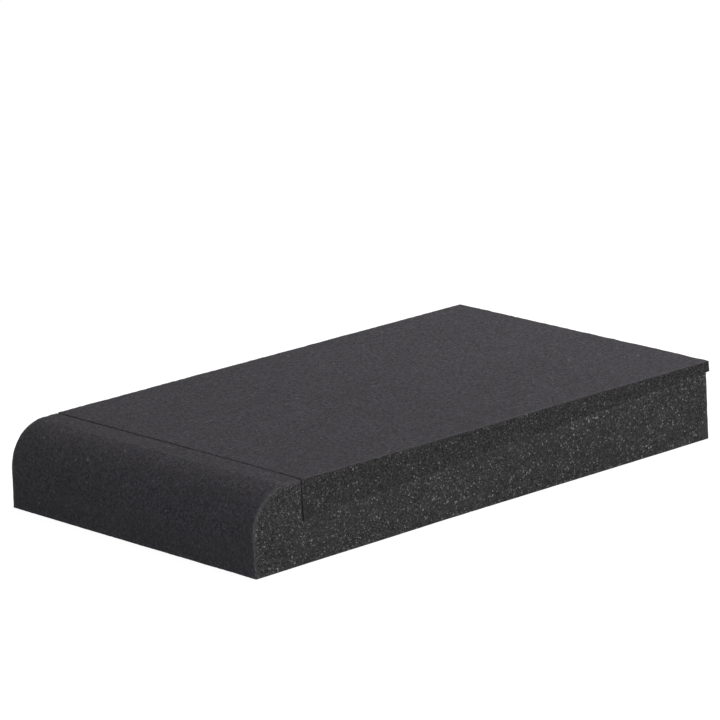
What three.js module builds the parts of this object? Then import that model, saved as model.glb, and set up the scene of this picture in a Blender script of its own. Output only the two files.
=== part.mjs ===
// A foam isolation pad that stands under a small studio loudspeaker.
//
// The pad is two loose pieces of open-cell foam. The base has a quarter-round nose at the
// front and, behind it, a seat that climbs towards the rear as a ramp. The insert is a long
// wedge that lies on the ramp, butts against the nose and fills the seat, so the
// loudspeaker stands nearly level. Lifted out, or turned end for end, it changes the
// loudspeaker's tilt. Nothing is glued.
//
// Millimetres, +Z up. The nose faces -Y, the length runs along Y and the width along X.
// The origin lies on the ground, under the middle of the whole pad.

import * as THREE from "three";

// Base, as cut from the block
const BASE_LENGTH = 300; // front face of the nose to the rear face
const PAD_WIDTH = 184;
const PAD_HEIGHT = 41.6; // ground to the nose's flat top
const NOSE_LENGTH = 30.3; // front face to the step that the insert butts against
const NOSE_RADIUS = 21.2; // quarter round between the front face and the top

// Seat for the insert
const SEAT_DEPTH = 20.2; // the nose's flat top down to the foot of the step
const RAMP_RISE = 12.9; // how far the ramp climbs from there to the rear face

// Insert, as it lies in the seat, level with the nose at the step and a touch lower at its tail
const INSERT_TAIL_THICKNESS = 5.3;
const INSERT_OVERHANG = 2.5; // the foot of its tail, past the rear face of the base
const INSERT_END_LEAN = THREE.MathUtils.degToRad(1.4); // both end cuts, forwards at the top
const BUTT_CLEARANCE = 0.45; // the slit behind the step, where it opens on the top
const SEAT_CLEARANCE = 0.3; // between the ramp and the insert's underside

const ARC_SEGMENTS = 32; // facets in the quarter round

const FOAM = { color: 0x454346, roughness: 0.95, metalness: 0 };

/** Height of the seat's ramp above the ground, at a distance y behind the nose's front face. */
function rampHeightAt(y) {
  const foot = PAD_HEIGHT - SEAT_DEPTH;
  const slope = RAMP_RISE / (BASE_LENGTH - NOSE_LENGTH);
  return foot + slope * (y - NOSE_LENGTH);
}

/** The side outline of the base. Its x runs back from the nose's front face, and its y up from the ground. */
function baseOutline() {
  const radius = Math.min(NOSE_RADIUS, NOSE_LENGTH, PAD_HEIGHT);
  const outline = new THREE.Shape();
  outline.moveTo(0, 0);
  outline.lineTo(BASE_LENGTH, 0);
  outline.lineTo(BASE_LENGTH, rampHeightAt(BASE_LENGTH));
  outline.lineTo(NOSE_LENGTH, rampHeightAt(NOSE_LENGTH));
  outline.lineTo(NOSE_LENGTH, PAD_HEIGHT);
  outline.lineTo(radius, PAD_HEIGHT);
  outline.absarc(radius, PAD_HEIGHT - radius, radius, Math.PI / 2, Math.PI, false);
  outline.closePath();
  return outline;
}

/**
 * The side outline of the insert, in the same coordinates as the base's, lying in the seat.
 * Its two ends are parallel cuts that lean a little, so the slit at the step widens downwards.
 */
function insertOutline() {
  const undersideAt = (y) => rampHeightAt(y) + SEAT_CLEARANCE;
  const lean = Math.tan(INSERT_END_LEAN);
  const frontTop = NOSE_LENGTH + BUTT_CLEARANCE;
  const frontFoot = frontTop + lean * (PAD_HEIGHT - undersideAt(frontTop));
  const tailFoot = BASE_LENGTH + INSERT_OVERHANG;
  const tailTop = tailFoot - lean * INSERT_TAIL_THICKNESS;
  const outline = new THREE.Shape();
  outline.moveTo(frontFoot, undersideAt(frontFoot));
  outline.lineTo(tailFoot, undersideAt(tailFoot));
  outline.lineTo(tailTop, undersideAt(tailFoot) + INSERT_TAIL_THICKNESS);
  outline.lineTo(frontTop, PAD_HEIGHT);
  outline.closePath();
  return outline;
}

/** A piece of foam cut to an outline, straight through the width of the pad. */
function cutFoam(name, outline) {
  const geometry = new THREE.ExtrudeGeometry(outline, {
    depth: PAD_WIDTH,
    bevelEnabled: false,
    curveSegments: ARC_SEGMENTS,
  });
  const piece = new THREE.Mesh(geometry, new THREE.MeshStandardMaterial(FOAM));
  piece.name = name;
  return piece;
}

// The outlines are drawn in a plane, and the width grows out of it. Turned by this basis,
// the outline's x runs along Y, its y along Z, and the width along X.
const profilePlane = new THREE.Group();
profilePlane.quaternion.setFromRotationMatrix(
  new THREE.Matrix4().makeBasis(
    new THREE.Vector3(0, 1, 0),
    new THREE.Vector3(0, 0, 1),
    new THREE.Vector3(1, 0, 0),
  ),
);
profilePlane.position.set(-PAD_WIDTH / 2, -(BASE_LENGTH + INSERT_OVERHANG) / 2, 0);
profilePlane.add(cutFoam("foam_base", baseOutline()));
profilePlane.add(cutFoam("wedge_insert", insertOutline()));

const isolationPad = new THREE.Group();
isolationPad.add(profilePlane);

export default isolationPad;
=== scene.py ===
"""Studio scene of a foam isolation pad that stands under a small loudspeaker.

The pad is two loose pieces of open-cell foam: a base with a quarter-round nose and a ramped
seat, and a long wedge-shaped insert that lies in the seat. Both are cut twice: along their
outline by a contour knife, which leaves a fine even face, and across the width by a saw,
which tears the cells open and leaves the speckled long sides.

Metres, +Z up. The nose faces -Y, and the camera sees the pad's +X side.
"""

import logging
import math
from dataclasses import dataclass, field, replace
from enum import Enum
from itertools import product

import bpy
import numpy as np
from mathutils import Matrix, Vector
from mathutils.geometry import delaunay_2d_cdt


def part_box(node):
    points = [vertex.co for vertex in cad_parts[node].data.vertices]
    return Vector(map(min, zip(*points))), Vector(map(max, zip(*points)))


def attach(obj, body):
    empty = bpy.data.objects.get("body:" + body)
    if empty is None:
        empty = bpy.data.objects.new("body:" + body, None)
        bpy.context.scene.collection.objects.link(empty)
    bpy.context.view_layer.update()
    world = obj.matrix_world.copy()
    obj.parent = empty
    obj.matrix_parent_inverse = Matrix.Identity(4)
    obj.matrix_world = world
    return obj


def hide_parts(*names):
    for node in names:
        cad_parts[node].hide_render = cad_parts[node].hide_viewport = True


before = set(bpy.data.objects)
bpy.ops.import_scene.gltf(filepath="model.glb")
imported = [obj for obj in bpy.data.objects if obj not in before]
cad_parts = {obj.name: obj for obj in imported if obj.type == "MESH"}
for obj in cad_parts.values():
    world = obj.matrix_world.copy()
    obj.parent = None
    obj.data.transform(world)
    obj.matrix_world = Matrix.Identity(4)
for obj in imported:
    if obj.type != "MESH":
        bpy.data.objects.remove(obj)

LOG = logging.getLogger("isolation_pad")

MM = 0.001
# name of the attribute that weighs the painted highlight along the frayed edges
RIM_HIGHLIGHT = "rim"
LINT = "lint"
WHITE = (1.0, 1.0, 1.0, 1.0)


class CutFace(Enum):
    """The two cuts that free a piece from the block. The value is the mesh's material slot."""

    CONTOUR = 0
    SIDE = 1


class Stretch(Enum):
    """A kind of stretch of the outline, by what lies against it.

    The values are the spacing of its points, how much of its edge's round it keeps, and how
    much it frays, which also sets how strongly its edge is painted paler as a painted highlight.
    """

    OPEN = (0.95 * MM, 1.0, 1.0)
    BUTTED = (0.95 * MM, 1.3, 0.0)
    # the seams where the pieces press together take a faint painted highlight
    PRESSED = (4.0 * MM, 0.1, 0.25)

    @property
    def spacing(self) -> float:
        """Spacing of its points."""
        return self.value[0]

    @property
    def roundness(self) -> float:
        """Share of the edge's round that it keeps."""
        return self.value[1]

    @property
    def fray_and_highlight(self) -> float:
        """How much its edge frays, and how strongly it is painted paler as a painted highlight."""
        return self.value[2]


@dataclass(frozen=True)
class SpaceNoise:
    """Smooth seeded noise in space, from -1 to 1.

    Attributes:
        feature: Size of its blobs.
        seed: Start of the random numbers.
        lattice: How many blobs it has along each axis before it repeats.
    """

    feature: float
    seed: int
    lattice: int = 64

    def at(self, points: np.ndarray) -> np.ndarray:
        """Reads the noise.

        Args:
            points: Places in space, one per row.

        Returns:
            One value per place.
        """
        values = np.random.default_rng(self.seed).uniform(-1, 1, (self.lattice,) * 3)
        cells = points / self.feature
        base = np.floor(cells).astype(int)
        blend = cells - base
        blend = blend * blend * (3 - 2 * blend)
        total = np.zeros(len(points))
        for corner in product((0, 1), repeat=3):
            share = np.where(np.array(corner) == 1, blend, 1 - blend).prod(axis=1)
            x, y, z = ((base + corner) % self.lattice).T
            total += share * values[x, y, z]
        return total


@dataclass(frozen=True)
class Corner:
    """One corner of a side outline.

    Attributes:
        y: Its place along the pad.
        z: Its height.
        radius: Radius of the round that the knife leaves there.
        following: The kind of the stretch that follows, which the corner takes too.
        crisp: Whether the corner is an edge, which frays and is painted paler as a painted highlight,
            and not a broad round.
    """

    y: float
    z: float
    radius: float
    following: Stretch = Stretch.OPEN
    crisp: bool = True


@dataclass
class Outline:
    """A closed side outline, walked counter-clockwise with Y to the right and Z up.

    Attributes:
        corners: Its corners, in order.
    """

    corners: list[Corner]

    def __post_init__(self) -> None:
        """Turns the corners into points, with what the mesh needs to know at each."""
        points: list[Vector] = []
        kinds: list[Stretch] = []
        arcs = [self._round(i) for i in range(len(self.corners))]
        for i, (arc, corner) in enumerate(zip(arcs, self.corners)):
            end, start = arc[-1], arcs[(i + 1) % len(arcs)][0]
            steps = max(1, round((start - end).length / corner.following.spacing))
            points += arc + [end.lerp(start, k / steps) for k in range(1, steps)]
            kinds += [corner.following] * (len(arc) + steps - 1)
        self.points = np.array([tuple(p) for p in points])
        self.pressed = np.array([kind is Stretch.PRESSED for kind in kinds])
        self.roundness = np.array([kind.roundness for kind in kinds])
        self.fray_and_highlight = np.array([kind.fray_and_highlight for kind in kinds])
        ahead = np.roll(self.points, -1, axis=0) - self.points
        ahead /= np.linalg.norm(ahead, axis=1)[:, None]
        along = ahead + np.roll(ahead, 1, axis=0)
        along /= np.linalg.norm(along, axis=1)[:, None]
        self.normals = np.column_stack([along[:, 1], -along[:, 0]])
        edges = [c for c in self.corners if c.crisp]
        apart = self.points[:, None] - np.array([(c.y, c.z) for c in edges])[None]
        self.edge_distance = np.linalg.norm(apart, axis=2).min(axis=1)

    def _round(self, index: int) -> list[Vector]:
        """The arc of points that stands for one corner."""
        corner = self.corners[index]
        before, after = self.corners[index - 1], self.corners[(index + 1) % len(self.corners)]
        tip = Vector((corner.y, corner.z))
        back = (Vector((before.y, before.z)) - tip).normalized()
        ahead = (Vector((after.y, after.z)) - tip).normalized()
        half = back.angle(ahead) / 2
        centre = tip + (back + ahead).normalized() * (corner.radius / math.sin(half))
        reach = corner.radius / math.tan(half)
        first = tip + back * reach - centre
        turn = first.angle_signed(tip + ahead * reach - centre)
        steps = max(3, round(abs(turn) * corner.radius / Stretch.OPEN.spacing))
        return [
            centre + Matrix.Rotation(-turn * k / steps, 2) @ first for k in range(steps + 1)
        ]

    def inset(self, depth: float) -> np.ndarray:
        """The outline's points, moved inwards by as much of a depth as each one's round keeps."""
        return self.points - self.normals * (self.roundness * depth)[:, None]

    def nearest(self, places: np.ndarray) -> tuple[np.ndarray, np.ndarray]:
        """Measures from places inside the outline to its line.

        Args:
            places: Points in the outline's plane, one per row.

        Returns:
            The distance of each to the line, and how much the line frays and is painted paler there.
        """
        gap = np.full(len(places), np.inf)
        fray_and_highlight = np.zeros(len(places))
        for a, b, frays in zip(self.points, np.roll(self.points, -1, axis=0), self.fray_and_highlight):
            along = b - a
            share = np.clip((places - a) @ along / (along @ along), 0, 1)
            found = np.linalg.norm(places - a - share[:, None] * along, axis=1)
            fray_and_highlight = np.where(found < gap, frays, fray_and_highlight)
            gap = np.minimum(gap, found)
        return gap, fray_and_highlight


@dataclass
class Shell:
    """A mesh's points and faces while they are put together.

    Attributes:
        points: The places, in blocks of one row per point.
        normals: The outward direction at each.
        sides: Whether each lies on a long side.
        rims: How near each is to a frayed edge, which weighs its tufts and its painted highlight.
        faces: The faces, as lists of point numbers.
        cuts: The material index of each face.
    """

    points: list[np.ndarray] = field(default_factory=list)
    normals: list[np.ndarray] = field(default_factory=list)
    sides: list[np.ndarray] = field(default_factory=list)
    rims: list[np.ndarray] = field(default_factory=list)
    faces: list[list[int]] = field(default_factory=list)
    cuts: list[int] = field(default_factory=list)

    def add(self, points: np.ndarray, normals: np.ndarray, side: bool, rim: np.ndarray) -> int:
        """Adds a block of points.

        Args:
            points: The places, one per row.
            normals: The outward direction at each.
            side: Whether they lie on a long side.
            rim: How near each is to a frayed edge, which weighs its tufts and its painted highlight.

        Returns:
            The number of the block's first point.
        """
        start = sum(map(len, self.points))
        self.points.append(points)
        self.normals.append(normals)
        self.sides.append(np.full(len(points), side))
        self.rims.append(rim)
        return start

    def join(self, faces: list[list[int]], cut: CutFace) -> None:
        """Adds faces that lie on one of the cuts."""
        self.faces += faces
        self.cuts += [cut.value] * len(faces)


@dataclass
class CutFoam:
    """A length of foam cut to an outline, with torn and pitted long sides and soft frayed edges.

    Attributes:
        name: The piece's name, which is its CAD node's name with a word for the looks.
        outline: Its side outline.
        width: Its size along X.
        seed: Start of its random numbers.
        across: Spacing of the points along X.
        side_spacing: Spacing of the points on the long sides.
        edge_radius: Round of the near side's edges, between the two cuts.
        far_edge_radius: Round of the far side's edges, which are cleaner.
        drift: How far the knife wandered.
        cell_relief: Depth of the cells on the contour-cut faces.
        pit_depth: Depth of the torn cells on the long sides.
        fray: How far the edges' tufts stand in and out.
        edge_wave: How far the near side's edges wander in slow waves.
        rim_reach: How far the frayed rim, with its painted highlight, reaches from an edge.
        lint: Places of the pale lint caught on the foam, with how pale each is.
    """

    name: str
    outline: Outline
    width: float
    seed: int
    across: float = 1.2 * MM
    side_spacing: float = 0.66 * MM
    edge_radius: float = 0.3 * MM
    far_edge_radius: float = 0.12 * MM
    drift: float = 0.10 * MM
    cell_relief: float = 0.035 * MM
    pit_depth: float = 0.12 * MM
    fray: float = 0.13 * MM
    edge_wave: float = 0.22 * MM
    rim_reach: float = 0.8 * MM
    lint: tuple[tuple[Vector, float], ...] = ()

    EDGE_STEPS = 3  # rings in the round of a side's edge
    KNIFE_ROUND = 0.35 * MM  # round of the outline's plain corners
    SEAT_CLOSING = 0.14 * MM  # how far each face of the seat moves into the CAD's gap
    SIDE_LEAN = 0.5  # past this, a ring's points count as the side's
    SCATTER = 0.3  # of the side's points, as a share of their spacing
    SIDE_MARGIN = 0.5  # between them and the edge, as a share of their spacing
    DRIFT_SIZE = 35 * MM  # length of the knife's drift
    CELL_SIZE = 1.3 * MM  # size of the cells that stand in relief
    TUFT_SIZE = 2.6 * MM  # size of the frayed edges' tufts
    WAVE_SIZE = 8.0 * MM  # length of the near side's waves

    def build(self) -> bpy.types.Object:
        """Builds the closed mesh.

        Returns:
            The piece, with its rim attribute, which weighs the painted edge highlight, its lint
            attribute and one material index per cut.
        """
        rng = np.random.default_rng(self.seed)
        rings = self._rings()
        shell = Shell()
        for x, inset, lean in rings:
            self._add_ring(shell, x, inset, lean)
        shell.join(self._ring_faces(len(rings), len(self.outline.points)), CutFace.CONTOUR)
        inner, triangles = self._side_pattern(rng)
        self._add_side(shell, -1, 0, inner, triangles[:, ::-1])
        self._add_side(shell, 1, len(rings) - 1, inner, triangles)
        place, out = np.vstack(shell.points), np.vstack(shell.normals)
        side, rim = np.concatenate(shell.sides), np.concatenate(shell.rims)
        place = place + out * self._relief(place, side, rim, rng)[:, None]
        mesh = bpy.data.meshes.new(self.name)
        mesh.from_pydata(self._wander(place), [], shell.faces)
        mesh.polygons.foreach_set("material_index", shell.cuts)
        mesh.polygons.foreach_set("use_smooth", [True] * len(shell.faces))
        for name, values in ((RIM_HIGHLIGHT, rim), (LINT, self._caught_lint(place))):
            mesh.attributes.new(name, "FLOAT", "POINT").data.foreach_set("value", values)
        mesh.update()
        self._keep_joined_edges_sharp(mesh, len(rings))
        piece = bpy.data.objects.new(self.name, mesh)
        bpy.context.scene.collection.objects.link(piece)
        return piece

    def _add_ring(self, shell: Shell, x: float, inset: float, lean: float) -> None:
        """Adds a ring of points, set in, with normals that lean to the side."""
        count = len(self.outline.points)
        points = np.column_stack([np.full(count, x), self.outline.inset(inset)])
        flat = self.outline.normals * math.cos(lean)
        normals = np.column_stack([np.full(count, math.sin(lean)), flat])
        near_edge = np.minimum(self.outline.edge_distance, self.width / 2 - abs(x))
        rim = self._rim(near_edge, self.outline.fray_and_highlight)
        shell.add(points, normals, abs(math.sin(lean)) > self.SIDE_LEAN, rim)

    def _add_side(
        self, shell: Shell, towards: int, ring: int, inner: np.ndarray, triangles: np.ndarray
    ) -> None:
        """Closes one end of the tube of rings with a long side.

        Args:
            shell: What the mesh is put together in.
            towards: 1 for the near side and -1 for the far side.
            ring: The number of the ring that it joins.
            inner: The points inside the side's outline.
            triangles: The side's triangles, which count the ring's points first.
        """
        count = len(self.outline.points)
        points = np.column_stack([np.full(len(inner), towards * self.width / 2), inner])
        normals = np.tile((towards, 0.0, 0.0), (len(inner), 1))
        start = shell.add(points, normals, True, self._rim(*self.outline.nearest(inner)))
        index = np.concatenate([ring * count + np.arange(count), start + np.arange(len(inner))])
        shell.join(index[triangles].tolist(), CutFace.SIDE)

    def _caught_lint(self, place: np.ndarray) -> np.ndarray:
        """How pale each point is with lint. Each bit of lint takes the point nearest to it."""
        pale = np.zeros(len(place))
        for where, strength in self.lint:
            pale[np.linalg.norm(place - np.array(where), axis=1).argmin()] = strength
        return pale

    def _keep_joined_edges_sharp(self, mesh: bpy.types.Mesh, rings: int) -> None:
        """Marks the side faces' edges sharp where the piece lies against something."""
        count = len(self.outline.points)
        ends = np.empty(2 * len(mesh.edges), int)
        mesh.edges.foreach_get("vertices", ends)
        ring, step = np.divmod(ends.reshape(-1, 2), count)
        outer = ((ring == 0) | (ring == rings - 1)).all(axis=1)
        pressed = outer & self.outline.pressed[step].all(axis=1)
        mesh.attributes.new("sharp_edge", "BOOLEAN", "EDGE").data.foreach_set("value", pressed)

    def _rings(self) -> list[tuple[float, float, float]]:
        """Each ring's X, how far it is set in, and how far its normals lean to the side."""
        near = self.width / 2 - self.edge_radius
        far = self.width / 2 - self.far_edge_radius
        steps = round((near + far) / self.across)
        rings = [(-far + (near + far) * k / steps, 0.0, 0.0) for k in range(steps + 1)]
        for k in range(1, self.EDGE_STEPS + 1):
            lean = math.pi / 2 * k / self.EDGE_STEPS
            out, inset = math.sin(lean), 1 - math.cos(lean)
            rings.insert(0, (-far - self.far_edge_radius * out, self.far_edge_radius * inset, -lean))
            rings.append((near + self.edge_radius * out, self.edge_radius * inset, lean))
        return rings

    @staticmethod
    def _ring_faces(rings: int, count: int) -> list[list[int]]:
        """The quads between neighbouring rings, facing outwards."""
        ring, step = np.meshgrid(np.arange(rings - 1), np.arange(count), indexing="ij")
        here, ahead = ring * count, (step + 1) % count
        quads = [here + step, here + ahead, here + count + ahead, here + count + step]
        return np.stack(quads, axis=-1).reshape(-1, 4).tolist()

    def _side_pattern(self, rng: np.random.Generator) -> tuple[np.ndarray, np.ndarray]:
        """Points inside a long side, and the triangles that join them to its outer ring.

        Args:
            rng: Where the points' scatter comes from.

        Returns:
            The inner points, and triangles that count the ring's points first.
        """
        ring = self.outline.inset(self.edge_radius)
        (y0, z0), (y1, z1) = ring.min(axis=0), ring.max(axis=0)
        rows = np.arange(z0, z1, self.side_spacing * math.sqrt(3) / 2)
        columns = np.arange(y0, y1, self.side_spacing)
        y, z = np.meshgrid(columns, rows)
        y[1::2] += self.side_spacing / 2
        grid = np.column_stack([y.ravel(), z.ravel()])
        grid += rng.uniform(-self.SCATTER, self.SCATTER, grid.shape) * self.side_spacing
        grid = grid[self._inside(grid, ring)]
        gap, _ = self.outline.nearest(grid)
        grid = grid[gap > self.edge_radius + self.SIDE_MARGIN * self.side_spacing]
        count = len(ring)
        loop = [(i, (i + 1) % count) for i in range(count)]
        flat = [Vector(p) for p in np.vstack([ring, grid])]
        _, _, faces, origin, _, _ = delaunay_2d_cdt(flat, loop, [], 1, 1e-9)
        triangles = np.array([[origin[v][0] for v in face] for face in faces])
        corners = np.vstack([ring, grid])[triangles]
        first, second = corners[:, 1] - corners[:, 0], corners[:, 2] - corners[:, 0]
        clockwise = first[:, 0] * second[:, 1] < first[:, 1] * second[:, 0]
        triangles[clockwise] = triangles[clockwise][:, ::-1]
        return grid, triangles

    @staticmethod
    def _inside(points: np.ndarray, ring: np.ndarray) -> np.ndarray:
        """Whether each point lies inside the ring."""
        inside = np.zeros(len(points), bool)
        y, z = points.T
        for (ya, za), (yb, zb) in zip(ring, np.roll(ring, -1, axis=0)):
            if za != zb:
                crossed = (za > z) != (zb > z)
                inside ^= crossed & (y < ya + (z - za) * (yb - ya) / (zb - za))
        return inside

    def _rim(self, gap: np.ndarray, fray_and_highlight: np.ndarray) -> np.ndarray:
        """How frayed the foam is at a distance from an edge, and so how strongly it is painted paler as
        a painted highlight.
        """
        return fray_and_highlight * np.exp(-((gap / self.rim_reach) ** 2))

    def _relief(
        self, place: np.ndarray, side: np.ndarray, rim: np.ndarray, rng: np.random.Generator
    ) -> np.ndarray:
        """How far each point stands out of the plain form.

        Args:
            place: The points.
            side: Whether each lies on a long side.
            rim: How near each is to an edge.
            rng: Where the pits come from.

        Returns:
            One height per point.
        """
        wander = SpaceNoise(self.DRIFT_SIZE, self.seed + 1).at(place) * self.drift
        cells = SpaceNoise(self.CELL_SIZE, self.seed + 2).at(place) * self.cell_relief
        pits = -self.pit_depth * rng.random(len(place)) ** 2 * side
        tufts = SpaceNoise(self.TUFT_SIZE, self.seed + 3).at(place) * self.fray * rim
        near_rim = rim * (place[:, 0] > 0)
        waves = SpaceNoise(self.WAVE_SIZE, self.seed + 4).at(place) * self.edge_wave * near_rim
        return wander + cells + pits + tufts + waves

    def _wander(self, place: np.ndarray) -> np.ndarray:
        """Bends the cut faces as the saw and the knife wandered. A plain piece keeps its own."""
        return place


@dataclass
class NodeBench:
    """Puts shader nodes together in one node tree.

    Attributes:
        tree: The material's or the world's node tree.
    """

    tree: bpy.types.NodeTree

    @classmethod
    def cleared(cls, owner: bpy.types.Material | bpy.types.World) -> "NodeBench":
        """Empties the node tree of a material or a world, ready for new nodes."""
        owner.use_nodes = True
        owner.node_tree.nodes.clear()
        return cls(owner.node_tree)

    def add(self, kind: str, settings: dict | None = None, **inputs: object) -> bpy.types.Node:
        """Adds a node.

        Args:
            kind: Blender's name for the node's type.
            settings: Its properties.
            **inputs: Its sockets by name, with _ for a space. A value is a number, a colour or
                another node's output.

        Returns:
            The node.
        """
        node = self.tree.nodes.new(kind)
        for key, value in (settings or {}).items():
            setattr(node, key, value)
        for key, value in inputs.items():
            self.feed(node.inputs[key.replace("_", " ")], value)
        return node

    def feed(self, socket: bpy.types.NodeSocket, value: object) -> None:
        """Links an output to a socket, or sets the socket's own value."""
        if isinstance(value, bpy.types.NodeSocket):
            self.tree.links.new(value, socket)
        else:
            socket.default_value = value

    def math(self, operation: str, first: object, second: object) -> bpy.types.NodeSocket:
        """Adds a Math node and returns its output."""
        node = self.add("ShaderNodeMath", {"operation": operation})
        self.feed(node.inputs[0], first)
        self.feed(node.inputs[1], second)
        return node.outputs[0]

    def line(self, value: object, low: float, high: float) -> bpy.types.NodeSocket:
        """Low where value is 0 and high where it is 1, in a straight line."""
        node = self.add("ShaderNodeMath", {"operation": "MULTIPLY_ADD"})
        self.feed(node.inputs[0], value)
        node.inputs[1].default_value = high - low
        node.inputs[2].default_value = low
        return node.outputs[0]

    def blend(self, share: object, first: object, second: object) -> bpy.types.NodeSocket:
        """First where share is 0, second where it is 1."""
        node = self.add("ShaderNodeMix", {"data_type": "FLOAT"})
        for socket, value in zip(node.inputs[:4], (share, None, first, second)):
            if value is not None:
                self.feed(socket, value)
        return node.outputs[0]

    def fade(self, value: object, start: float, end: float) -> bpy.types.NodeSocket:
        """A smooth step from 0 where value is start to 1 where it is end."""
        node = self.add(
            "ShaderNodeMapRange",
            {"interpolation_type": "SMOOTHSTEP"},
            Value=value, From_Min=start, From_Max=end, To_Min=0.0, To_Max=1.0,
        )
        return node.outputs["Result"]

    def noise(self, place: bpy.types.NodeSocket, feature: float) -> bpy.types.NodeSocket:
        """Soft noise in space, about 0.5, with blobs of one size."""
        node = self.add("ShaderNodeTexNoise", Vector=place, Scale=1 / feature, Detail=2.0, Roughness=0.6)
        return node.outputs["Fac"]


@dataclass(frozen=True)
class FoamFinish:
    """The look of one cut through charcoal open-cell foam.

    Each cell has a tone of its own. Most are near the tint, and a few are much paler: painted
    glints, where a torn cell wall would catch the light. The struts between the cells are painted
    a little paler than the hollows, as painted shade in the hollows.

    Attributes:
        name: The material's name.
        tint: Colour of a common cell.
        cell: Size of a cell.
        spread: How much the common cells differ in tone.
        glint_share: How common the cells with a painted glint are.
        glint_gain: How bright their painted glint is, as a multiple of the tint.
        hollow_shade_gain: How much paler the struts are than the hollows, as painted shade in the
            hollows.
        patch: Size of the patches that hold more painted glints.
        rim_highlight_tone: Tone of the painted highlight on the frayed rim, as a multiple of the tint.
        mottle: Slow change of tone over the face.
        relief: Height of the cells' bump.
        roughness: Roughness of the foam.
        specular: Strength of its gloss.
    """

    name: str
    tint: tuple[float, float, float]
    cell: float
    spread: float
    glint_share: float
    glint_gain: float
    hollow_shade_gain: float
    patch: float
    rim_highlight_tone: float
    mottle: float
    relief: float
    roughness: float = 0.92
    specular: float = 0.02

    FINE = 0.8  # size of the fine noise, as a share of a cell
    STRUT_BAND = (0.2, 0.7)  # where a cell's hollow ends, and where its strut is full
    RIM_HIGHLIGHT_GRAIN = (0.2, 1.8)  # tone of the painted rim highlight's darkest and palest grain
    RIM_HIGHLIGHT_MIX = 0.5  # share of that grain in the painted rim highlight, beside the cut's own tone
    PATCHINESS = (0.3, 1.7)  # gain of the painted glints in the poorest and richest patches
    GLINT_FALL = 1.5  # how fast the painted glints get rarer as they get brighter, as a power
    CLOUD = 30 * MM  # size of the slow changes of tone

    def material(self) -> bpy.types.Material:
        """Builds the material."""
        material = bpy.data.materials.new(self.name)
        bench = NodeBench.cleared(material)
        place = bench.add("ShaderNodeTexCoord").outputs["Object"]
        cell = bench.add("ShaderNodeTexVoronoi", Vector=place, Scale=1 / self.cell).outputs
        fine = bench.noise(place, self.cell * self.FINE)
        strut = bench.fade(cell["Distance"], *self.STRUT_BAND)
        tone = self._cut_tone(bench, place, cell["Color"], fine, strut)
        tone = self._rim_highlight_and_lint_tone(bench, tone, fine)
        colour = bench.add("ShaderNodeVectorMath", {"operation": "SCALE"}, Scale=tone)
        colour.inputs[0].default_value = self.tint
        height = bench.math("ADD", strut, fine)
        bump = bench.add("ShaderNodeBump", Height=height, Distance=self.relief / 2, Strength=1.0)
        shader = bench.add(
            "ShaderNodeBsdfPrincipled",
            Base_Color=colour.outputs["Vector"],
            Roughness=self.roughness,
            Specular_IOR_Level=self.specular,
            Normal=bump.outputs["Normal"],
        )
        bench.add("ShaderNodeOutputMaterial", Surface=shader.outputs["BSDF"])
        return material

    def _cut_tone(
        self,
        bench: NodeBench,
        place: bpy.types.NodeSocket,
        cell: bpy.types.NodeSocket,
        fine: bpy.types.NodeSocket,
        strut: bpy.types.NodeSocket,
    ) -> bpy.types.NodeSocket:
        """The tone of the plain cut, as a multiple of the tint.

        Args:
            bench: The material's nodes.
            place: Where the point is on the piece.
            cell: A random colour for each cell.
            fine: Fine noise.
            strut: 0 in a cell's hollow and 1 on its struts.

        Returns:
            The tone.
        """
        luck = bench.add("ShaderNodeSeparateColor", Color=cell).outputs
        tone = bench.line(luck["Green"], 1 - self.spread, 1 + self.spread)
        # painted shade: the cells' hollows darker and their struts paler
        struts = bench.line(strut, 1 - self.hollow_shade_gain, 1 + self.hollow_shade_gain)
        tone = bench.math("MULTIPLY", tone, struts)
        grain = bench.line(fine, 1 - 2 * self.spread, 1 + 2 * self.spread)
        tone = bench.math("MULTIPLY", tone, grain)
        tone = bench.math("ADD", tone, self._painted_glint_cells(bench, place, luck["Red"]))
        cloud = bench.noise(place, self.CLOUD)
        clouds = bench.line(cloud, 1 - 2 * self.mottle, 1 + 2 * self.mottle)
        return bench.math("MULTIPLY", tone, clouds)

    def _rim_highlight_and_lint_tone(
        self, bench: NodeBench, tone: bpy.types.NodeSocket, fine: bpy.types.NodeSocket
    ) -> bpy.types.NodeSocket:
        """The cut's tone with the painted highlight on its frayed rims and the caught lint on it."""
        rim = bench.add("ShaderNodeAttribute", {"attribute_name": RIM_HIGHLIGHT}).outputs["Fac"]
        # painted highlight: the frayed rim painted paler, as where its tufts catch the light
        frayed = bench.blend(self.RIM_HIGHLIGHT_MIX, tone, bench.line(fine, *self.RIM_HIGHLIGHT_GRAIN))
        frayed = bench.math("MULTIPLY", frayed, self.rim_highlight_tone)
        tone = bench.blend(rim, tone, frayed)
        lint = bench.add("ShaderNodeAttribute", {"attribute_name": LINT}).outputs["Fac"]
        return bench.math("ADD", tone, lint)

    def _painted_glint_cells(
        self, bench: NodeBench, place: bpy.types.NodeSocket, luck: bpy.types.NodeSocket
    ) -> bpy.types.NodeSocket:
        """What the painted glints add to the tone: much for a few, little for most."""
        patchy = bench.line(bench.noise(place, self.patch), *self.PATCHINESS)
        common = bench.math("SUBTRACT", 1.0 + self.glint_share, luck)
        rarity = bench.math("DIVIDE", self.glint_share, common)
        # painted glint: a few cells much paler, as where a torn cell wall catches the light
        glint_tone = bench.math("POWER", rarity, self.GLINT_FALL)
        return bench.math("MULTIPLY", bench.math("MULTIPLY", glint_tone, patchy), self.glint_gain)


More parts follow.
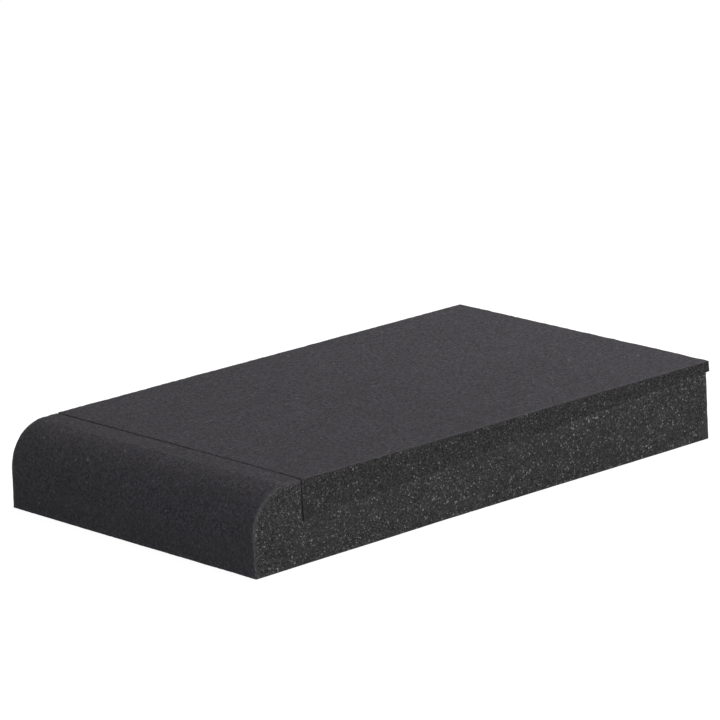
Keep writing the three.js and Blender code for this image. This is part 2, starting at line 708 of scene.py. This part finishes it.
CONTOUR_CUT = FoamFinish(
    name="contour_cut_foam",
    tint=(0.0512, 0.0485, 0.0531),
    cell=1.0 * MM,
    spread=0.27,
    glint_share=0.01,
    glint_gain=1.1,
    hollow_shade_gain=0.10,
    patch=12 * MM,
    rim_highlight_tone=1.42,
    mottle=0.04,
    relief=0.10 * MM,
)

BASE_SIDE_CUT = FoamFinish(
    name="base_side_cut_foam",
    tint=(0.0438, 0.0423, 0.0429),
    cell=0.68 * MM,
    spread=0.42,
    glint_share=0.04,
    glint_gain=6.7,
    hollow_shade_gain=0.35,
    patch=14 * MM,
    rim_highlight_tone=1.75,
    mottle=0.06,
    relief=0.25 * MM,
)

INSERT_SIDE_CUT = replace(
    BASE_SIDE_CUT,
    name="insert_side_cut_foam",
    tint=(0.0400, 0.0387, 0.0392),
    glint_share=0.028,
    glint_gain=5.5,
    rim_highlight_tone=1.4,
)


@dataclass(frozen=True)
class SlitBow:
    """How the cut behind the nose wandered rearwards at the top, between the pad's two sides.

    Attributes:
        all_along: How far it lies back over most of the width.
        deepest: How much further back it lies at its deepest.
        deepest_at: The X of that place.
        spread: How far the deepest part spreads along X.
        reach: How far from the slit the foam moves with it.
        ending: How sharply the bow ends at the near side, as a power.
    """

    all_along: float = 0.55 * MM
    deepest: float = 0.55 * MM
    deepest_at: float = 45 * MM
    spread: float = 30 * MM
    reach: float = 8 * MM
    ending: int = 16

    def at(self, place: np.ndarray, slit: float, low: float) -> np.ndarray:
        """How far back each point moves.

        Args:
            place: The points.
            slit: The Y of the slit.
            low: The height of the slit's foot, which keeps its place.

        Returns:
            One distance per point. It is nothing at the near side's corner.
        """
        x, y, z = place.T
        back = self.all_along + self.deepest * np.exp(-(((x - self.deepest_at) / self.spread) ** 2))
        corner = 1 - np.clip(x / x.max(), 0, 1) ** self.ending
        high = np.clip((z - low) / (z.max() - low), 0, 1)
        return back * corner * high * np.clip(1 - np.abs(y - slit) / self.reach, 0, 1)


SLIT_BOW = SlitBow()


@dataclass
class FoamBase(CutFoam):
    """The base: a quarter-round nose, the step behind it and the ramp that carries the insert.

    Attributes:
        side_bow: How far the near side's foot wanders inwards, at its deepest.
        side_bow_at: Where along the pad that is.
        nose_lean: How far the nose's front face leans back, from its foot to its round.
        nose_flare: How far the face stands forward of that at its near edge, by its round.
        nose_wane: How much the round falls short towards the far side.
    """

    rim_reach: float = 1.6 * MM
    lint: tuple[tuple[Vector, float], ...] = (
        (Vector((-0.0368, -0.1465, 0.0337)), 2.6),
        (Vector((-0.0447, -0.1478, 0.0320)), 0.9),
        (Vector((0.0705, -0.1240, 0.0416)), 1.2),
        (Vector((0.0720, -0.1240, 0.0416)), 1.2),
        (Vector((0.0866, -0.1351, 0.0410)), 0.7),
    )
    side_bow: float = 1.15 * MM
    side_bow_at: float = -0.031
    nose_lean: float = 0.75 * MM
    nose_flare: float = 1.25 * MM
    nose_wane: float = 0.35 * MM

    NODE = "foam_base"
    SLOT = "base_foam"
    NOSE_RADIUS = 21.2 * MM
    NOSE_LENGTH = 30.3 * MM
    CREASE = math.radians(15)
    CREASE_ROUND = 0.8 * MM
    SLIT = 0.45 * MM
    SLIT_ROUND = 0.55 * MM
    SEAT_DEPTH = 20.2 * MM
    RAMP_RISE = 12.9 * MM
    TOE = 8 * MM  # how far behind the front face its bends reach
    FLARE_RISE = 0.7  # how the flare grows with the height, as a power
    FLARE_EDGE = 24  # how closely it keeps to the near edge, as a power
    WANE_RISE = 0.5  # how slowly the round's shortfall sets in, as a power
    BOW_EDGE = 4  # how closely the side's bow keeps to the near side, as a power

    @classmethod
    def from_frame(cls) -> "FoamBase":
        """Takes the base's sizes from its CAD node and the insert's."""
        low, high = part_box(cls.NODE)
        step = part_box(WedgeInsert.NODE)[0].y - cls.SLIT
        foot = high.z - cls.SEAT_DEPTH + cls.SEAT_CLOSING
        edge = cls.KNIFE_ROUND
        crease_y, shoulder_z = cls._crease(low.y, high.z)
        outline = Outline([
            Corner(low.y, low.z, edge, Stretch.PRESSED),
            Corner(high.y, low.z, edge),
            Corner(high.y, foot + cls.RAMP_RISE, edge, Stretch.PRESSED),
            Corner(step, foot, edge, Stretch.BUTTED, crisp=False),
            Corner(step, high.z, cls.SLIT_ROUND, crisp=False),
            Corner(crease_y, high.z, cls.CREASE_ROUND, crisp=False),
            Corner(low.y, shoulder_z, cls.NOSE_RADIUS, crisp=False),
        ])
        return cls("foam_base_cut", outline, high.x - low.x, seed=11)

    @classmethod
    def _crease(cls, front: float, top: float) -> tuple[float, float]:
        """Where the knife left the flat top at an angle, before it went into the round.

        Args:
            front: The Y of the nose's front face.
            top: Its top's height.

        Returns:
            The crease's Y, and the height at which that straight cut would meet the front.
        """
        middle = front + cls.NOSE_RADIUS
        crease_y = middle - cls.NOSE_RADIUS * math.tan(cls.CREASE / 2)
        rise = cls.NOSE_RADIUS * (1 - math.sin(cls.CREASE)) / math.cos(cls.CREASE)
        return crease_y, top - cls.NOSE_RADIUS + rise

    def _wander(self, place: np.ndarray) -> np.ndarray:
        """Bends the nose, the near side's foot and the slit as the saw and the knife wandered."""
        x, y, z = place.T.copy()
        front, rear = y.min(), y.max()
        near = np.clip(x / (self.width / 2), 0, 1)
        rise = np.clip(1 - z / z.max(), 0, 1)
        along = np.where(
            y < self.side_bow_at,
            (y - front) / (self.side_bow_at - front),
            (rear - y) / (rear - self.side_bow_at),
        )
        straight = z.max() - self.NOSE_RADIUS
        toe = np.clip(1 - (y - front) / self.TOE, 0, 1)
        up = np.clip(z / straight, 0, 1)
        y += self.nose_lean * (up - 0.5) * toe
        y -= self.nose_flare * up**self.FLARE_RISE * near**self.FLARE_EDGE * toe
        turn = np.arctan2(front + self.NOSE_RADIUS - y, np.maximum(z - straight, 0))
        wane = self.nose_wane * np.sin(2 * np.clip(turn, 0, math.pi / 2)) ** self.WANE_RISE
        wane *= np.clip(0.5 - x / self.width, 0, 1)
        y += wane * np.sin(turn)
        z -= wane * np.cos(turn)
        x -= self.side_bow * near**self.BOW_EDGE * rise * along
        step = front + self.NOSE_LENGTH
        on_nose = place[:, 1] < step + self.SLIT
        y += SLIT_BOW.at(place, step, z.max() - self.SEAT_DEPTH) * on_nose
        return np.column_stack([x, y, z])


@dataclass
class WedgeInsert(CutFoam):
    """The insert: a long wedge, thick where it butts against the step and thin at its tail.

    Attributes:
        far_lift: How much higher it lies on the far side.
        near_lift: How much higher its near top edge stands, at the most.
        near_lift_at: Where along the pad that is.
        touching: How much of the slit it closes in places, where the slit's bow is
            SLIT_BOW.all_along deep. It closes more where the bow is deeper, but never all.
    """

    far_lift: float = 0.08 * MM
    near_lift: float = 0.32 * MM
    near_lift_at: float = 80 * MM
    touching: float = 0.24 * MM
    rim_reach: float = 0.6 * MM
    lint: tuple[tuple[Vector, float], ...] = (
        (Vector((0.0356, 0.1076, 0.0402)), 2.5),
        (Vector((0.0274, 0.1360, 0.0401)), 1.0),
        (Vector((0.0388, 0.1249, 0.0401)), 1.0),
        (Vector((0.0568, 0.1355, 0.0401)), 2.0),
    )

    NODE = "wedge_insert"
    SLOT = "insert_foam"
    TAIL_THICKNESS = 5.3 * MM
    END_LEAN = math.radians(1.4)
    PROUD = 0.15 * MM
    LIFT_SPREAD = 60 * MM  # how far the near edge's lift spreads along the pad
    LIFT_EDGE = 4  # how closely it keeps to the near edge, as a power
    TOUCH_SIZE = 12 * MM  # size of the places where the slit is narrower

    @classmethod
    def from_frame(cls) -> "WedgeInsert":
        """Takes the insert's sizes from its CAD node and the base's."""
        low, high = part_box(cls.NODE)
        base_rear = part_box(FoamBase.NODE)[1].y
        slope = FoamBase.RAMP_RISE / (base_rear - low.y + FoamBase.SLIT)
        lean = math.tan(cls.END_LEAN)
        front_foot = low.y + lean * (high.z - low.z)
        tail_foot_z = low.z + slope * (high.y - front_foot)
        tail_top_z = tail_foot_z + cls.TAIL_THICKNESS + cls.PROUD
        edge = cls.KNIFE_ROUND
        outline = Outline([
            Corner(front_foot, low.z - cls.SEAT_CLOSING, edge, Stretch.PRESSED),
            Corner(high.y, tail_foot_z - cls.SEAT_CLOSING, edge),
            Corner(high.y - lean * cls.TAIL_THICKNESS, tail_top_z, edge),
            Corner(low.y, high.z + cls.PROUD, FoamBase.SLIT_ROUND, Stretch.BUTTED, crisp=False),
        ])
        return cls("wedge_insert_cut", outline, high.x - low.x, seed=29)

    def _wander(self, place: np.ndarray) -> np.ndarray:
        """Lifts the far side and the near top edge a little, and bends the front to the step."""
        x, y, z = place.T.copy()
        high = np.clip((z - z.min()) / (z.max() - z.min()), 0, 1)
        bump = np.exp(-(((y - self.near_lift_at) / self.LIFT_SPREAD) ** 2))
        z += self.near_lift * high * bump * np.clip(x / x.max(), 0, 1) ** self.LIFT_EDGE
        z += self.far_lift * np.clip(0.5 - place[:, 0] / self.width, 0, 1)
        bow = SLIT_BOW.at(place, y.min(), place[:, 2].min())
        uneven = 0.5 + 0.5 * SpaceNoise(self.TOUCH_SIZE, self.seed + 5).at(place * (1, 0, 0))
        y += bow * (1 - uneven * self.touching / SLIT_BOW.all_along)
        return np.column_stack([x, y, z])


@dataclass(frozen=True)
class Lamp:
    """A square soft box that faces the pad.

    Attributes:
        name: Its name.
        place: Where it stands.
        size: Its side.
        power: Its power in watts.
        colour: Its colour.
    """

    name: str
    place: Vector
    size: float
    power: float
    colour: tuple[float, float, float] = (1.0, 1.0, 1.0)

    def build(self, aim: Vector) -> None:
        """Adds the lamp, turned to a point."""
        data = bpy.data.lights.new(self.name, "AREA")
        data.shape = "SQUARE"
        data.size = self.size
        data.energy = self.power
        data.color = self.colour
        lamp = bpy.data.objects.new(self.name, data)
        lamp.location = self.place
        lamp.rotation_mode = "QUATERNION"
        lamp.rotation_quaternion = (aim - self.place).to_track_quat("-Z", "Y")
        lamp.visible_camera = False
        bpy.context.scene.collection.objects.link(lamp)


@dataclass
class Studio:
    """A pale floor, soft lamps and a white surround.

    Attributes:
        floor_size: Side of the floor.
        floor_albedo: How much of the light that falls on the floor comes back off it.
        floor_glow: How bright the floor looks without any light, where 1 is white.
        floor_shade: How much the light and the pad's shadow add to that.
        world: Strength of the even light from all round.
    """

    floor_size: float = 8.0
    floor_albedo: float = 0.5
    floor_glow: float = 0.93
    floor_shade: float = 0.18
    world: float = 0.10

    LAMPS = (
        Lamp("rear_light", Vector((-0.05, 0.72, 0.62)), 0.6, 7.2),
        Lamp("side_light", Vector((1.5, -0.1, 0.45)), 0.8, 8.1),
        Lamp("front_light", Vector((0.5, -1.2, 0.35)), 0.6, 4.5, (0.92, 0.94, 1.0)),
        Lamp("left_light", Vector((-1.5, 0.1, 0.45)), 0.8, 3.0),
        Lamp("top_light", Vector((0.0, 0.2, 1.4)), 1.2, 6.6),
    )
    AIM = Vector((0.0, 0.0, 0.02))

    def build(self) -> None:
        """Builds the floor, the lamps and the world."""
        self._floor()
        for lamp in self.LAMPS:
            lamp.build(self.AIM)
        self._surround()

    def _floor(self) -> None:
        """Builds the floor. It looks white, keeps the pad's shadow and lights it softly."""
        half = self.floor_size / 2
        mesh = bpy.data.meshes.new("floor")
        mesh.from_pydata(
            [(-half, -half, 0), (half, -half, 0), (half, half, 0), (-half, half, 0)],
            [], [(0, 1, 2, 3)],
        )
        floor = bpy.data.objects.new("floor", mesh)
        bpy.context.scene.collection.objects.link(floor)
        material = bpy.data.materials.new("pale_floor")
        bench = NodeBench.cleared(material)
        shade, grey = (self.floor_shade,) * 3, (self.floor_albedo,) * 3
        paper = bench.add("ShaderNodeBsdfDiffuse", Color=(*shade, 1.0))
        glow = bench.add("ShaderNodeEmission", Color=WHITE, Strength=self.floor_glow)
        white = bench.add("ShaderNodeAddShader")
        bench.feed(white.inputs[0], paper.outputs[0])
        bench.feed(white.inputs[1], glow.outputs[0])
        plain = bench.add("ShaderNodeBsdfDiffuse", Color=(*grey, 1.0))
        mix = bench.add("ShaderNodeMixShader", Fac=self._seen(bench))
        bench.feed(mix.inputs[1], plain.outputs[0])
        bench.feed(mix.inputs[2], white.outputs[0])
        bench.add("ShaderNodeOutputMaterial", Surface=mix.outputs[0])
        mesh.materials.append(material)

    @staticmethod
    def _seen(bench: NodeBench) -> bpy.types.NodeSocket:
        """1 for rays that carry the picture: from the camera, or by way of gloss or glass."""
        path = bench.add("ShaderNodeLightPath").outputs
        clear = bench.math("MAXIMUM", path["Is Glossy Ray"], path["Is Transmission Ray"])
        return bench.math("MAXIMUM", path["Is Camera Ray"], clear)

    def _surround(self) -> None:
        """White where it is seen, and a weak even light elsewhere."""
        world = bpy.data.worlds.new("surround")
        bench = NodeBench.cleared(world)
        gain = bench.math("MULTIPLY", self._seen(bench), 1.0 - self.world)
        strength = bench.math("ADD", gain, self.world)
        glow = bench.add("ShaderNodeBackground", Color=WHITE, Strength=strength)
        bench.add("ShaderNodeOutputWorld", Surface=glow.outputs[0])
        bpy.context.scene.world = world


@dataclass
class PhotoCamera:
    """The camera, at the photograph's viewing angle, held slightly askew.

    Attributes:
        azimuth: Angle round the pad, in degrees, from looking along +Y.
        elevation: Angle above the floor, in degrees.
        roll: Tilt of the picture, in degrees.
        distance: From the camera to its aim.
        lens: Focal length in millimetres.
        aim: The point at the middle of the picture.
    """

    azimuth: float = 49.0881
    elevation: float = 15.0772
    roll: float = -3.0160
    distance: float = 2.563084
    lens: float = 257.86
    aim: Vector = Vector((-6.811 * MM, 5.241 * MM, 55.684 * MM))

    SENSOR_WIDTH = 36.0
    CLIP = (0.1, 50.0)

    def build(self) -> None:
        """Adds the camera and makes it the scene's own."""
        azimuth, elevation = math.radians(self.azimuth), math.radians(self.elevation)
        level = math.cos(elevation)
        back = Vector((math.sin(azimuth) * level, -math.cos(azimuth) * level, math.sin(elevation)))
        data = bpy.data.cameras.new("photo_camera")
        data.lens = self.lens
        data.sensor_width = self.SENSOR_WIDTH
        data.clip_start, data.clip_end = self.CLIP
        camera = bpy.data.objects.new("photo_camera", data)
        camera.location = self.aim + back * self.distance
        turn = (-back).to_track_quat("-Z", "Y").to_matrix()
        tilt = Matrix.Rotation(math.radians(self.roll), 3, "Z")
        camera.rotation_mode = "QUATERNION"
        camera.rotation_quaternion = (turn @ tilt).to_quaternion()
        bpy.context.scene.collection.objects.link(camera)
        bpy.context.scene.camera = camera


def dress(part: FoamBase | WedgeInsert, finishes: list[bpy.types.Material]) -> None:
    """Builds a piece of foam, gives it its finishes and sets it in the frame.

    Args:
        part: The piece.
        finishes: Its materials, in the order of CutFace.
    """
    piece = part.build()
    for material in finishes:
        piece.data.materials.append(material)
    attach(piece, "root")
    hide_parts(part.NODE)
    LOG.info("%s: %d points, %d faces", piece.name, len(piece.data.vertices), len(piece.data.polygons))


def main() -> None:
    """Builds the pad, the studio and the camera."""
    logging.basicConfig(level=logging.INFO, format="%(name)s: %(message)s")
    bpy.context.scene.view_settings.view_transform = "Standard"
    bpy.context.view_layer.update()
    contour_cut = CONTOUR_CUT.material()
    dress(FoamBase.from_frame(), [contour_cut, BASE_SIDE_CUT.material()])
    dress(WedgeInsert.from_frame(), [contour_cut, INSERT_SIDE_CUT.material()])
    Studio().build()
    LOG.info("studio: floor, %d lamps and surround", len(Studio.LAMPS))
    PhotoCamera().build()
    LOG.info("camera: %.1f mm lens", PhotoCamera.lens)


if __name__ == "__main__":
    main()
